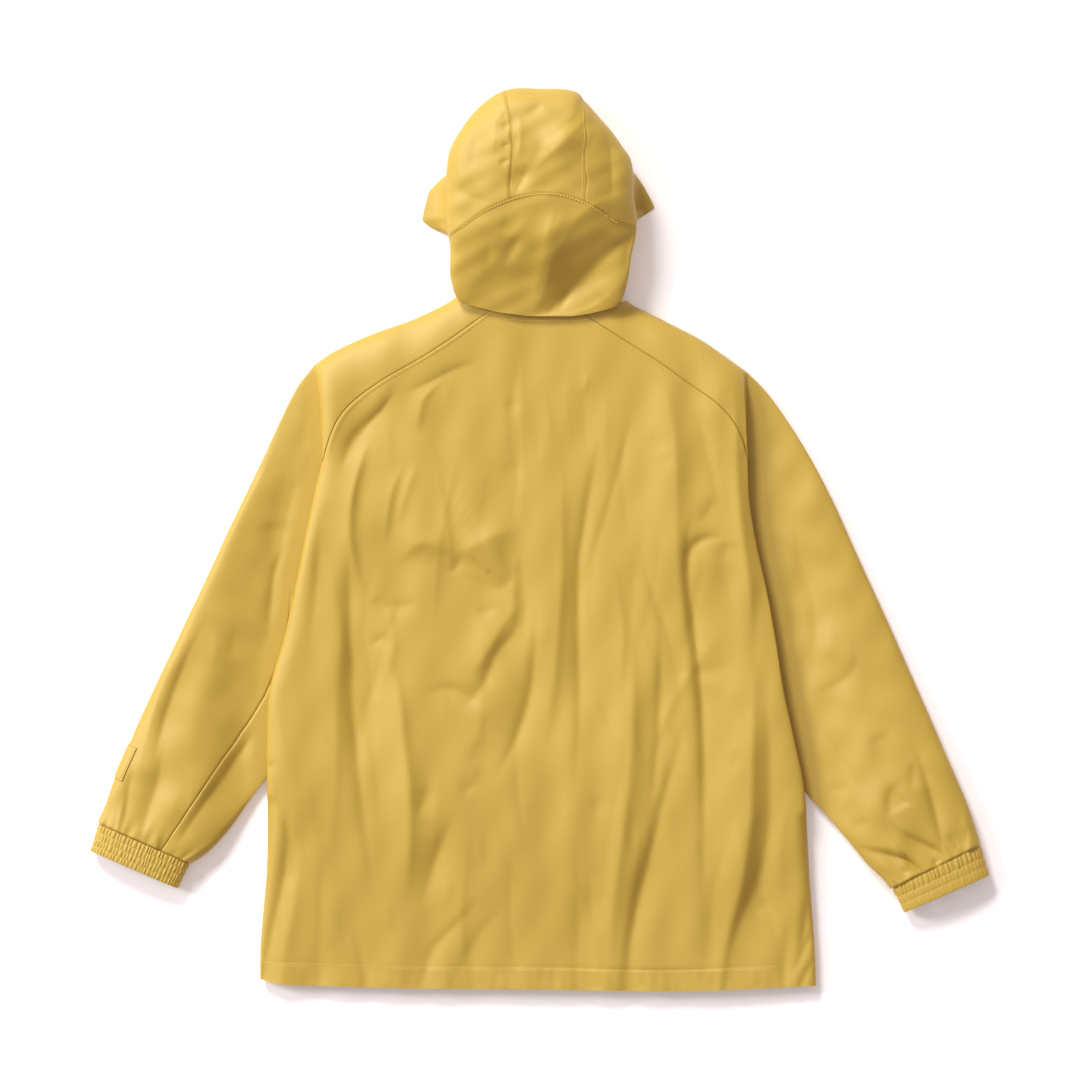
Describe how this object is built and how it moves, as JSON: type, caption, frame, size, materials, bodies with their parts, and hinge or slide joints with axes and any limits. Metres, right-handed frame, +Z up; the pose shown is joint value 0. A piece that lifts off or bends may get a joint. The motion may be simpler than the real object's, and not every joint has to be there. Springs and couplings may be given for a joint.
{
  "type": "anorak pullover",
  "caption": "Hooded raglan anorak pullover laid flat on its front, hood filled out, cuffs elasticated, hem open. Clothing to lay on a floor, bed or table.",
  "frame": {"origin": "on the floor, below the middle of the garment's outline seen from above", "axes": "+Z up from the floor; +Y from the hem to the hood; -X towards the wearer's left sleeve"},
  "size_m": [1.009, 1.0118, 0.0969],
  "materials": {
    "shell_cloth": "matt, tightly woven",
    "patch_cloth": "matt, tightly woven"
  },
  "bodies": {
    "root": {"back": "shell_cloth", "front": "shell_cloth", "sleeve_left": "shell_cloth", "sleeve_right": "shell_cloth", "cuff_left": "shell_cloth", "cuff_right": "shell_cloth", "hood_side_left": "shell_cloth", "hood_side_right": "shell_cloth", "hood_centre": "shell_cloth", "hood_back": "shell_cloth", "sleeve_patch": "patch_cloth"}
  },
  "joints": []
}
